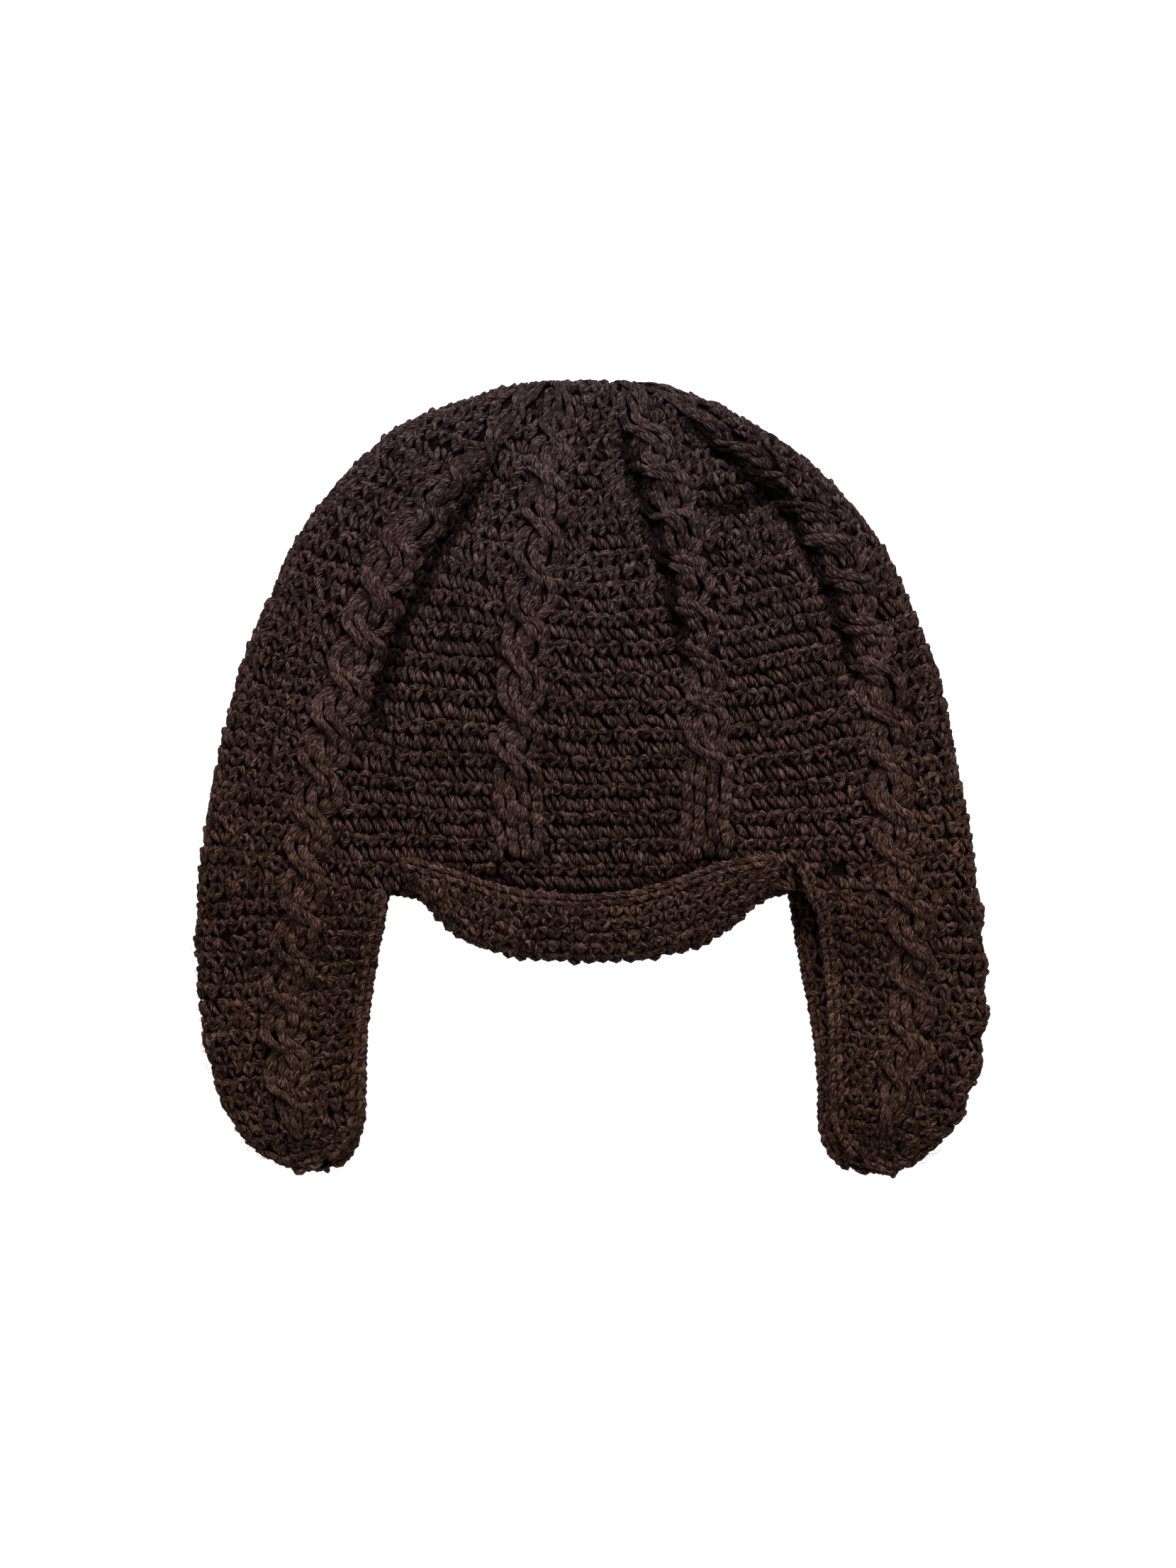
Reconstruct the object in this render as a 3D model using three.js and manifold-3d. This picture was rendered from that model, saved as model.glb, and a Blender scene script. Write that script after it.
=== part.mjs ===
import * as THREE from 'three';
import Module from 'manifold-3d';

const wasm = await Module();
wasm.setup();

// A crocheted earflap cap lying on its back, seen from above in +Z, with its crown towards +Y.
// Millimetres. The origin is under the middle of the cap, on the surface that it lies on.
// The cap is one bag of fabric pressed flat. A place on it is an angle round the head and a row:
// angle 0 is the right side fold, 90 the middle of the front, 180 the left side fold,
// row 0 is the centre of the crown, 1 the rim, and 1 to 2 the flaps below the rim.

const wall = 4.0;              // crocheted fabric
const seamGap = 0.35;          // between neighbouring pieces
const rimY = -38;              // rim of the crown
const crownHalfWidth = 137;    // side fold to side fold is twice this, at the rim
const crownHeight = 178;       // rim to the top fold
const apexTilt = 15;           // degrees that the centre of the crown tips over the top fold to the back
const backHeight = 5;          // middle of the back wall above the surface, on its cables
const crownFoldRadius = 9.5;   // round side folds, to the middle of the wall
const flapFoldRadius = 7.5;
const flapBackHeight = 2.1;
const flapLength = 101;
const flapAngle = 45;          // a flap reaches this far round from its side fold, front and back
const flapEdge = 43.8;         // its fabric ends here, and the edging fills the rest
const flapShape = { settled: 0.35, pinchFrom: 0.72, pinch: 0.45, rise: 0.25 };   // shares of its length
const foldExtra = Math.PI / 2 - 1;   // fabric in a side fold beyond its plan width, in fold radii
const crownGrid = { columns: 48, rows: 18 };
const flapGrid = { across: 12, rows: 12 };

// swell of the front above the side folds: at the rim and most, full this far in and this far up
const frontRise = { atRim: 5, most: 12, reach: 75, height: 80 };

// how far the flat outline stands outside a plain ellipse, by direction from the middle of the rim
const outlineSwell = [
  { direction: 0, share: 0.985 }, { direction: 14, share: 0.970 }, { direction: 28, share: 0.988 },
  { direction: 45, share: 1.011 }, { direction: 75, share: 1.007 }, { direction: 90, share: 0.998 },
  { direction: 105, share: 1.010 }, { direction: 120, share: 1.030 }, { direction: 133, share: 1.026 },
  { direction: 147, share: 1.000 }, { direction: 165, share: 0.988 }, { direction: 180, share: 1.005 },
];

// valleys pressed into the front, each along a line in plan; they fade out near the side folds
const valleyClear = 25;
const frontFolds = [
  { name: 'left of the centre', from: [-44, 112], to: [-72, 66], depth: 4.5, width: 7 },
  { name: 'right of the centre', from: [22, 122], to: [27, 72], depth: 3.5, width: 6 },
  { name: 'right shoulder', from: [42, 120], to: [72, 70], depth: 3.8, width: 6 },
  { name: 'cross fold', from: [14, 100], to: [50, 103], depth: 2.5, width: 5 },
  { name: 'top gather', from: [-12, 134], to: [-14, 108], depth: 2.5, width: 5 },
];

// flap outlines in plan, from the rim down, for each side: the fold, then the front and back free edges
const flaps = {
  right: {
    side: 1,
    fold: [[135.8, -38], [138.3, -60], [139, -84], [135.5, -107], [127, -125], [107, -138.7]],
    front: [[70.5, -38], [78, -46], [82, -62], [84, -84], [85, -106], [88, -124], [98, -134]],
    back: [[70.5, -38], [72.5, -52], [75.5, -68], [79, -86], [81.5, -106], [82, -125], [93, -138.7]],
  },
  left: {
    side: -1,
    fold: [[137.7, -38], [138.7, -60], [137, -85], [132.5, -106], [124, -124], [104, -138.5]],
    front: [[71.5, -38], [73, -52], [76, -66], [79, -86], [81, -106], [83, -122], [96, -136]],
    back: [[71.5, -38], [74, -52], [77, -66], [80, -86], [81.5, -106], [81.5, -124], [92, -138.5]],
  },
};

const cable = {
  halfWidth: 9.5,
  mostAngle: 19,               // half its width is at most this many degrees, near the centre of the crown
  height: 4.2,
  twist: 34,                   // fabric length of one full turn
  taper: { top: 3, end: 4, least: 0.35 },
};

// the angle of each cable at these rows: they gather towards the top, and the outer front two run on
// down the flaps
const cableRows = [0.17, 0.32, 0.44, 0.60, 0.92, 1.84];
const cableRuns = [
  { name: 'cable_front_1', lastRow: 1.84, steps: 36, angles: [62, 42, 29, 22, 21, 26] },
  { name: 'cable_front_2', lastRow: 0.945, steps: 24, angles: [73, 67, 65, 63, 64, 64] },
  { name: 'cable_front_3', lastRow: 0.945, steps: 24, angles: [104, 104, 104, 106, 106, 106] },
  { name: 'cable_front_4', lastRow: 1.84, steps: 36, angles: [114, 126, 137, 145, 152, 156] },
  { name: 'cable_back_1', lastRow: 0.97, steps: 20, angles: [-25, -25, -25, -25, -25, -25] },
  { name: 'cable_back_2', lastRow: 0.97, steps: 20, angles: [-65, -65, -65, -65, -65, -65] },
  { name: 'cable_back_3', lastRow: 0.97, steps: 20, angles: [-112, -112, -112, -112, -112, -112] },
  { name: 'cable_back_4', lastRow: 0.97, steps: 20, angles: [-155, -155, -155, -155, -155, -155] },
];

// the visor's edges in plan: its rolled upper edge over the rim, and its lower edge
const visor = {
  stations: 20,
  endAngle: 0.12,            // stations crowd towards the ends, as even steps round this part of a circle
  upper: [[-67, -27], [-50, -31.6], [-33, -37.4], [-15, -40.2], [8, -40.2], [25, -37], [39, -32], [52, -28.4],
    [66, -26.5]],
  lower: [[-67, -35], [-62, -39.5], [-57, -44.5], [-52, -50], [-46, -55], [-34, -60], [-12, -63.4],
    [8, -63.4], [33, -60], [44, -55], [52, -50], [57, -44.5], [61, -41.5], [66, -37]],
  swell: 5.2,                // of its face above the rim
  depth: 8.5,                // of its rolled lower edge
  fade: 75,
};

const edging = { radius: 2.0, step: 10, sides: 5, firstRow: 1.03, lastRow: 1.96 };

const toMiddle = { x: -0.19, y: -1.07 };   // brings the middle of the whole cap over the origin
const yarnBrown = 0x2c201d;
const degrees = Math.PI / 180;

function smoothStep(t) {
  const s = Math.min(1, Math.max(0, t));
  return s * s * (3 - 2 * s);
}

function swellAt(direction) {
  const d = Math.min(180, Math.max(0, direction));
  const next = Math.max(1, outlineSwell.findIndex((row) => row.direction >= d));
  const a = outlineSwell[next - 1];
  const b = outlineSwell[next];
  return a.share + (b.share - a.share) * smoothStep((d - a.direction) / (b.direction - a.direction));
}

// fabric leaving a side fold: how far in it has come and how far off the middle of the fold
function leaveFold(length, radius) {
  const bend = Math.PI / 2 * radius;
  if (length >= bend) return { inward: radius + length - bend, lift: radius };
  return { inward: radius * (1 - Math.cos(length / radius)), lift: radius * Math.sin(length / radius) };
}

function foldDepth(x, y) {
  let depth = 0;
  for (const fold of frontFolds) {
    const [x0, y0] = fold.from;
    const [dx, dy] = [fold.to[0] - x0, fold.to[1] - y0];
    const t = Math.min(1, Math.max(0, ((x - x0) * dx + (y - y0) * dy) / (dx * dx + dy * dy)));
    const away = Math.hypot(x - x0 - t * dx, y - y0 - t * dy);
    depth += fold.depth * Math.exp(-((away / fold.width) ** 2));
  }
  return depth;
}

function riseOfFront(length, y) {
  const { atRim, most, reach, height } = frontRise;
  return (atRim + (most - atRim) * smoothStep((y - rimY) / height)) * smoothStep(length / reach);
}

function crownPoint(angle, row) {
  const theta = row * Math.PI / 2;
  const tilt = apexTilt * degrees * Math.cos(theta) ** 2;
  const round = [Math.sin(theta) * Math.cos(angle), Math.cos(theta), Math.sin(theta) * Math.sin(angle)];
  const ny = round[1] * Math.cos(tilt) + round[2] * Math.sin(tilt);
  const nz = -round[1] * Math.sin(tilt) + round[2] * Math.cos(tilt);
  const towards = Math.atan2(ny, round[0]);
  const plan = new THREE.Vector2(crownHalfWidth * Math.cos(towards), crownHeight * Math.sin(towards));
  const reach = plan.length() * swellAt(towards / degrees);
  const share = 1 - Math.acos(Math.min(1, Math.abs(nz))) / (Math.PI / 2);
  const length = share * (reach + foldExtra * crownFoldRadius);
  const { inward, lift } = leaveFold(length, crownFoldRadius);
  plan.setLength(reach - inward);
  const y = rimY + plan.y;
  const middle = backHeight + crownFoldRadius;
  if (nz < 0) return new THREE.Vector3(plan.x, y, middle - lift);
  const valley = foldDepth(plan.x, y) * smoothStep(length / valleyClear);
  return new THREE.Vector3(plan.x, y, middle + lift + riseOfFront(length, y) - valley);
}

// even steps along a smooth line through a table of plan points
function planCurve(points) {
  return new THREE.CatmullRomCurve3(points.map(([x, y]) => new THREE.Vector3(x, y, 0)), false, 'centripetal');
}
for (const flap of Object.values(flaps)) {
  flap.curves = { fold: planCurve(flap.fold), front: planCurve(flap.front), back: planCurve(flap.back) };
}

function flapPoint(flap, fromFold, row) {
  const down = row - 1;
  const isFront = fromFold >= 0;
  const start = flap.curves.fold.getPointAt(down);
  const across = flap.curves[isFront ? 'front' : 'back'].getPointAt(down).sub(start);
  const { settled, pinchFrom, pinch: most } = flapShape;
  const settle = smoothStep(down / settled);
  const pinch = 1 - most * smoothStep((down - pinchFrom) / (1 - pinchFrom));
  const radius = THREE.MathUtils.lerp(crownFoldRadius, flapFoldRadius, settle) * pinch;
  const width = across.length();
  const length = Math.abs(fromFold) / flapAngle * (width + foldExtra * radius);
  const { inward, lift } = leaveFold(length, radius);
  const at = start.addScaledVector(across, inward / width);
  const base = THREE.MathUtils.lerp(backHeight, flapBackHeight, settle);
  const rise = riseOfFront(length, rimY) * THREE.MathUtils.lerp(1, flapShape.rise, settle);
  return new THREE.Vector3(flap.side * at.x, at.y, base + radius + (isFront ? lift + rise : -lift));
}

// middle of the fabric at an angle round the head, in degrees, and a row
function fabric(angle, row) {
  if (row <= 1) return crownPoint(angle * degrees, row);
  const turned = ((angle % 360) + 360) % 360;
  if (turned > 90 && turned < 270) return flapPoint(flaps.left, 180 - turned, row);
  return flapPoint(flaps.right, turned > 180 ? turned - 360 : turned, row);
}

function outward(angle, row) {
  const [da, dr] = [0.4, 0.004];
  const limit = row <= 1 ? 1 : 2;
  const nearRow = (r) => Math.min(limit, Math.max(limit - 1 + 1e-6, r));
  const along = fabric(angle + da, row).sub(fabric(angle - da, row));
  const down = fabric(angle, nearRow(row + dr)).sub(fabric(angle, nearRow(row - dr)));
  return along.cross(down).normalize();
}

// a place on the fabric, a distance out from the middle of its wall
function onFabric(angle, row, out) {
  return fabric(angle, row).addScaledVector(outward(angle, row), out);
}

function meshOf(name, points, triangles) {
  const geometry = new THREE.BufferGeometry();
  const numbers = points.flatMap((p) => [p.x, p.y, p.z]);
  geometry.setAttribute('position', new THREE.Float32BufferAttribute(numbers, 3));
  geometry.setIndex(triangles);
  geometry.computeVertexNormals();
  const yarn = new THREE.MeshStandardMaterial({ color: yarnBrown, roughness: 0.95, metalness: 0 });
  const mesh = new THREE.Mesh(geometry, yarn);
  mesh.name = name;
  return mesh;
}

// a closed body from rings of equal count, with flat ends
function loftRings(name, rings, flip = false) {
  const count = rings[0].length;
  const triangles = [];
  const add = (a, b, c) => triangles.push(...(flip ? [a, c, b] : [a, b, c]));
  for (let r = 0; r + 1 < rings.length; r++) {
    for (let i = 0; i < count; i++) {
      const [a, b] = [r * count + i, r * count + (i + 1) % count];
      add(a, b, a + count);
      add(b, b + count, a + count);
    }
  }
  const last = (rings.length - 1) * count;
  for (let i = 1; i + 1 < count; i++) {
    add(0, i + 1, i);
    add(last, last + i, last + i + 1);
  }
  return meshOf(name, rings.flat(), triangles);
}

// what is left of a mesh after its neighbours, grown by the seam gap, are cut from it
function cutClear(mesh, neighbours) {
  const solidOf = ({ geometry }) => new wasm.Manifold(new wasm.Mesh({
    numProp: 3,
    vertProperties: new Float32Array(geometry.attributes.position.array),
    triVerts: new Uint32Array(geometry.index.array),
  }));
  let solid = solidOf(mesh);
  for (const neighbour of neighbours) solid = solid.subtract(solidOf(neighbour));
  const [largest] = solid.decompose().sort((a, b) => b.volume() - a.volume());
  const { vertProperties, triVerts, numProp } = largest.getMesh();
  const points = [];
  for (let i = 0; i < vertProperties.length; i += numProp) {
    points.push(new THREE.Vector3(...vertProperties.slice(i, i + 3)));
  }
  return meshOf(mesh.name, points, Array.from(triVerts));
}

// the crown: outer and inner skins over every angle, closed at the centre and joined round the rim
function makeCrown(grown = 0) {
  const { columns, rows } = crownGrid;
  const points = [];
  const skins = [wall / 2 + grown, -wall / 2];
  const inSkin = (r, c) => (r === 0 ? 0 : 1 + (r - 1) * columns + (c % columns));
  const at = (skin, r, c) => skin * (1 + rows * columns) + inSkin(r, c);
  for (const out of skins) {
    const centre = fabric(90, 0.0001);
    points.push(centre.setZ(centre.z - out));
    for (let r = 1; r <= rows; r++) {
      for (let c = 0; c < columns; c++) points.push(onFabric(360 * c / columns, r / rows, out));
    }
  }
  const spot = (r, c) => fabric(360 * c / columns, r / rows);
  const triangles = [];
  const add = (skin, a, b, d) => triangles.push(...(skin ? [a, d, b] : [a, b, d]));
  for (let c = 0; c < columns; c++) {
    for (const skin of [0, 1]) add(skin, at(skin, 0, 0), at(skin, 1, c + 1), at(skin, 1, c));
    for (let r = 1; r < rows; r++) {
      const slants = spot(r, c).distanceTo(spot(r + 1, c + 1)) < spot(r, c + 1).distanceTo(spot(r + 1, c));
      for (const skin of [0, 1]) {
        const [a, b, d, e] = [at(skin, r, c), at(skin, r, c + 1), at(skin, r + 1, c + 1), at(skin, r + 1, c)];
        add(skin, a, b, slants ? d : e);
        add(skin, slants ? a : b, d, e);
      }
    }
    triangles.push(at(0, rows, c), at(0, rows, c + 1), at(1, rows, c));
    triangles.push(at(0, rows, c + 1), at(1, rows, c + 1), at(1, rows, c));
  }
  return meshOf('crown', points, triangles);
}

// a flap: one sheet bent round its side fold, each row a ring through both of its skins
function makeFlap(name, middleAngle, grown = 0) {
  const { across, rows } = flapGrid;
  const reach = flapEdge + 1.4 * grown;   // a degree of the fabric is 1 to 1.6 mm
  const rings = [];
  for (let r = 0; r <= rows; r++) {
    const row = 1 + Math.max(seamGap / flapLength, r / rows);
    const skin = (out) => Array.from({ length: across + 1 }, (_, i) =>
      onFabric(middleAngle + reach * (2 * i / across - 1), row, out));
    rings.push([...skin(wall / 2 + grown), ...skin(-wall / 2 - grown).reverse()]);
  }
  return loftRings(name, rings);
}

// smooth height of a table of [x, y] points
function along(table, x) {
  const next = Math.max(1, table.findIndex((point) => point[0] >= x));
  const slope = (i) => {
    const [low, high] = [table[Math.max(0, i - 1)], table[Math.min(table.length - 1, i + 1)]];
    return (high[1] - low[1]) / (high[0] - low[0]);
  };
  const [a, b] = [table[next - 1], table[next]];
  const span = b[0] - a[0];
  const t = (x - a[0]) / span;
  const s = smoothStep(t);
  return (1 - s) * (a[1] + slope(next - 1) * span * t) + s * (b[1] + slope(next) * span * (t - 1));
}

// a raised cable of two strands that cross and cross back down the fabric, flat against the surface below
function makeCable({ name, lastRow, steps, angles }) {
  const firstRow = cableRows[0];
  const run = cableRows.map((row, i) => [row, angles[i]]);
  const rings = [];
  let length = 0;
  let before = null;
  for (let s = 0; s <= steps; s++) {
    const row = THREE.MathUtils.lerp(firstRow, lastRow, s / steps);
    const angle = along(run, row);
    const here = fabric(angle, row);
    length += before ? here.distanceTo(before) : 0;
    before = here;
    const degreeLength = fabric(angle + 1, row).distanceTo(fabric(angle - 1, row)) / 2;
    const { top, end, least } = cable.taper;
    const taper = smoothStep(least + top * s / steps) * smoothStep(least + end * (1 - s / steps));
    const half = Math.min(cable.halfWidth, cable.mostAngle * degreeLength) * taper;
    const swing = Math.sin(2 * Math.PI * length / cable.twist);
    const high = cable.height * taper;
    const profile = [
      [-1, 0], [1, 0], [0.9, 0.5 * high], [0.45 + 0.25 * swing, high * (0.9 + 0.15 * swing)],
      [0.15 * swing, 0.75 * high], [-0.45 + 0.25 * swing, high * (0.9 - 0.15 * swing)], [-0.9, 0.5 * high],
    ];
    rings.push(profile.map(([side, up]) => {
      const p = onFabric(angle + side * half / degreeLength, row, wall / 2 + up);
      return p.setZ(Math.max(0, p.z));
    }));
  }
  return loftRings(name, rings, true);
}

// highest outer face of the crown's front under the visor, at a place across it
function rimFace(x) {
  const angle = 90 - x / crownHalfWidth * 86;
  return Math.max(...[0.93, 0.96, 0.99].map((row) => fabric(angle, row).z)) + wall / 2;
}

// the visor: a padded crescent along the front of the rim, rolled back over it and over its lower edge
function makeVisor() {
  const [first, last] = [visor.upper[0][0], visor.upper.at(-1)[0]];
  const rings = [];
  for (let s = 0; s <= visor.stations; s++) {
    const turn = Math.PI * THREE.MathUtils.lerp(visor.endAngle, 1 - visor.endAngle, s / visor.stations);
    const x = (first + last) / 2 - (last - first) / 2 * Math.cos(turn) / Math.cos(Math.PI * visor.endAngle);
    const [upper, lower] = [along(visor.upper, x), along(visor.lower, x)];
    const face = rimFace(x);
    const root = rimY - seamGap;
    const full = 0.35 + 0.65 * smoothStep(1 - Math.abs(x) / visor.fade) ** 0.5;   // thinner at the ends
    const down = (share) => upper + (lower - upper) * share;
    const overRim = face + 2 * seamGap;
    rings.push([
      [root, face - wall], [root, Math.min(face - 0.4, overRim)], [Math.max(upper, root) + 0.01, overRim],
      [upper, face + 0.45 * visor.swell * full + 0.7], [down(0.12), face + 0.8 * visor.swell * full + 0.7],
      [down(0.4), face + visor.swell * full + 0.7], [down(0.72), face + 0.7 * visor.swell * full],
      [down(0.93), face - 0.1 * visor.swell * full], [lower, face - 0.45 * visor.depth * full],
      [Math.min(down(0.9), root - 0.5), face - visor.depth * full],
      [Math.min(down(0.6), root - 0.3), face - 0.8 * visor.depth * full],
    ].map(([y, z]) => new THREE.Vector3(x, y, z)));
  }
  return loftRings('visor', rings);
}

// a round bead of crochet chain along a line of places
function makeEdging(name, places) {
  const { radius, sides } = edging;
  const path = new THREE.CatmullRomCurve3(places, false, 'centripetal');
  const steps = Math.round(path.getLength() / edging.step);
  const rings = [];
  for (let s = 0; s <= steps; s++) {
    const at = path.getPointAt(s / steps);
    const ahead = path.getTangentAt(s / steps);
    const flat = new THREE.Vector3(-ahead.y, ahead.x, 0).normalize();
    const up = ahead.clone().cross(flat);
    rings.push(Array.from({ length: sides }, (_, i) => at.clone()
      .addScaledVector(flat, radius * Math.cos(2 * Math.PI * i / sides))
      .addScaledVector(up, radius * Math.sin(2 * Math.PI * i / sides))));
  }
  return loftRings(name, rings);
}

// places just off a flap's free edge, from the rim down
function besideFlap(edgeAngle, turn) {
  const count = 14;
  return Array.from({ length: count + 1 }, (_, i) => {
    const row = THREE.MathUtils.lerp(edging.firstRow, edging.lastRow, i / count);
    const degreeLength = fabric(edgeAngle, row).distanceTo(fabric(edgeAngle - turn, row));
    return fabric(edgeAngle + turn * (edging.radius + seamGap) / degreeLength, row);
  });
}

function rearPlaces() {
  const rim = [-60, -40, -20, 0, 20, 40, 60].map((x) =>
    new THREE.Vector3(x, rimY - seamGap - edging.radius, backHeight));
  return [...besideFlap(180 + flapEdge, 1).reverse(), ...rim, ...besideFlap(-flapEdge, -1)];
}

const cap = new THREE.Group();
cap.position.set(toMiddle.x, toMiddle.y, 0);
cap.add(makeCrown());
cap.add(makeFlap('ear_flap_right', 0));
cap.add(makeFlap('ear_flap_left', 180));
cap.add(makeVisor());
const ground = [makeCrown(seamGap), makeFlap('right', 0, seamGap), makeFlap('left', 180, seamGap)];
cap.add(cutClear(makeEdging('edging_front_right', besideFlap(flapEdge, 1)), ground));
cap.add(cutClear(makeEdging('edging_front_left', besideFlap(180 - flapEdge, -1)), ground));
cap.add(cutClear(makeEdging('edging_rear', rearPlaces()), ground));
for (const run of cableRuns) cap.add(cutClear(makeCable(run), ground));

export default cap;
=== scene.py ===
import math

import bpy
import numpy as np
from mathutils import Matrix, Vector


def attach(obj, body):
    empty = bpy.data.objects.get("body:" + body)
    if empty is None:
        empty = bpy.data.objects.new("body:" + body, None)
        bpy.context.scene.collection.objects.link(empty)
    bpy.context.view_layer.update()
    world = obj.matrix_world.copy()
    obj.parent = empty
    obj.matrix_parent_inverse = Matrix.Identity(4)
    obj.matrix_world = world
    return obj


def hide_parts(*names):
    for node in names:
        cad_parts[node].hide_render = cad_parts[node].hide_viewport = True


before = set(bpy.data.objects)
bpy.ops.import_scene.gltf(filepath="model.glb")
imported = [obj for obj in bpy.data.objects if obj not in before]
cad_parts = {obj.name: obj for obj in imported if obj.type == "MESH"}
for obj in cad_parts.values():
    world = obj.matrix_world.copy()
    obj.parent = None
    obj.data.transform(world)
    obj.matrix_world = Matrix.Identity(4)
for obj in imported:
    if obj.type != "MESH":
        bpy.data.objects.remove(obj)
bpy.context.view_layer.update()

# A crocheted earflap cap that lies on its back, its crown towards +Y. Sizes are millimetres until a
# mesh is made. A place on the fabric is an angle round the head (0 the right side fold, 90 the middle
# of the front, 180 the left side fold) and a row (0 the crown's centre, 1 the rim, 1 to 2 the flaps).
fabricShape = {
    "toMiddle": (-0.19, -1.07),      # brings the middle of the whole cap over the origin
    "rimY": -38, "halfWidth": 137, "height": 178, "tipBack": 15,
    "backHeight": 5, "crownFold": 9.5, "flapFold": 7.5, "flapBackHeight": 2.1,
    "riseAtRim": 5, "riseMost": 12, "riseReach": 75, "riseHeight": 80,
    "settled": 0.35, "pinchFrom": 0.72, "pinch": 0.45, "flapRise": 0.25, "scallopSettled": 0.1,
    "backCurl": 5.5, "curlFrom": 28, "curlOver": 16, "curlSettled": 0.2,
    "flapAngle": 45, "flapEdge": 43.8, "flapReach": 60, "firstRow": 1e-4, "lastCrownRow": 1.04,
    "wall": 4.0,
}
flapMiddles = {"right": 0, "left": 180}      # the angle of each side fold
outlineSwell = [                     # direction from the middle of the rim, share of a plain ellipse
    (0, 0.985), (14, 0.970), (28, 0.988), (45, 1.011), (75, 1.007), (90, 0.998),
    (105, 1.010), (120, 1.030), (133, 1.026), (147, 1.000), (165, 0.988), (180, 1.005),
]
frontFolds = [                       # line, depth and width of each valley pressed into the front
    ([(-30, 120), (-37, 106), (-52, 80), (-66, 52), (-73, 28), (-76, 4)], 8.5, 5.5),
    ([(8.5, 132), (13, 113), (19, 95), (24, 81), (28, 67), (32, 48), (34, 28)], 8.5, 5.0),
    ([(26, 135), (43, 117), (56, 107), (65, 100), (75, 83), (82, 69), (89, 50), (93, 26)], 8.5, 5.0),
    ([(28, 92), (48, 95), (68, 99)], 7.5, 4.5),
    ([(-12, 134), (-14, 108)], 4.0, 4.5),
]
foldShape = {"sharp": 1.4, "atEnds": 0.35, "endReach": 22, "edgeReach": 25}
flapOutlines = {                     # a scallop is its height, the spacing, and the first one's place
    "right": {
        "side": 1, "scallop": (0.9, 18.4, -46.6),
        "fold": [(135.8, -38), (138.3, -60), (139, -84), (135.5, -107), (127, -125), (113.2, -136.2),
                 (105, -139)],
        "front": [(74.5, -38), (79.5, -46), (82.4, -62), (84.6, -84), (85.4, -106), (88, -124),
                  (97, -134.5)],
        "back": [(70.5, -38), (72.5, -52), (75.5, -68), (79, -86), (81.5, -106), (82.5, -125),
                 (87.5, -134), (95, -139)],
    },
    "left": {
        "side": -1, "scallop": (0.5, 18.4, -38.0),
        "fold": [(137.7, -38), (138.7, -60), (137, -85), (132.5, -106), (124, -124), (112, -134.6),
                 (103, -138.2)],
        "front": [(71.5, -38), (73, -52), (76, -66), (79, -86), (81, -106), (83, -122), (96, -136)],
        "back": [(71.5, -38), (74, -52), (77, -66), (80, -86), (80.5, -106), (82, -124),
                 (86.5, -133), (94, -138.2)],
    },
}


def smoothStep(t):
    t = np.clip(t, 0, 1)
    return t * t * (3 - 2 * t)


def between(a, b, share):
    return a + (b - a) * share


def unit(v):
    return v / np.maximum(np.linalg.norm(v, axis=-1, keepdims=True), 1e-9)


# how far the crown's outline swells past its ellipse in a direction
def swellAt(direction):
    directions, shares = np.array(outlineSwell).T
    d = np.clip(direction, 0, 180)
    i = np.clip(np.searchsorted(directions, d), 1, len(directions) - 1)
    t = (d - directions[i - 1]) / (directions[i] - directions[i - 1])
    return between(shares[i - 1], shares[i], smoothStep(t))


# fabric leaving a side fold: how far in it has come, and how far off the middle of the fold
def leaveFold(length, radius):
    bend = math.pi / 2 * radius
    turn = np.minimum(length / radius, math.pi / 2)
    inward = np.where(length >= bend, radius + length - bend, radius * (1 - np.cos(turn)))
    return inward, radius * np.sin(turn)


# how deep the valleys of the front are at a place, each a little shallower at its ends
def foldDepth(x, y):
    f = foldShape
    depth = np.zeros_like(x)
    for line, deep, width in frontFolds:
        nearest = np.full_like(x, 1e3)
        for (x0, y0), (x1, y1) in zip(line, line[1:]):
            dx, dy = x1 - x0, y1 - y0
            t = np.clip(((x - x0) * dx + (y - y0) * dy) / (dx * dx + dy * dy), 0, 1)
            nearest = np.minimum(nearest, np.hypot(x - x0 - t * dx, y - y0 - t * dy))
        first, last = line[0], line[-1]
        ends = np.minimum(np.hypot(x - first[0], y - first[1]), np.hypot(x - last[0], y - last[1]))
        fromEnds = between(f["atEnds"], 1.0, smoothStep(ends / f["endReach"]))
        depth += deep * np.exp(-(nearest / width) ** f["sharp"]) * fromEnds
    return depth


# the front crowns up as it leaves a side fold, more so further up the crown
def riseOfFront(length, y):
    f = fabricShape
    up = between(f["riseAtRim"], f["riseMost"], smoothStep((y - f["rimY"]) / f["riseHeight"]))
    return up * smoothStep(length / f["riseReach"])


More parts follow.
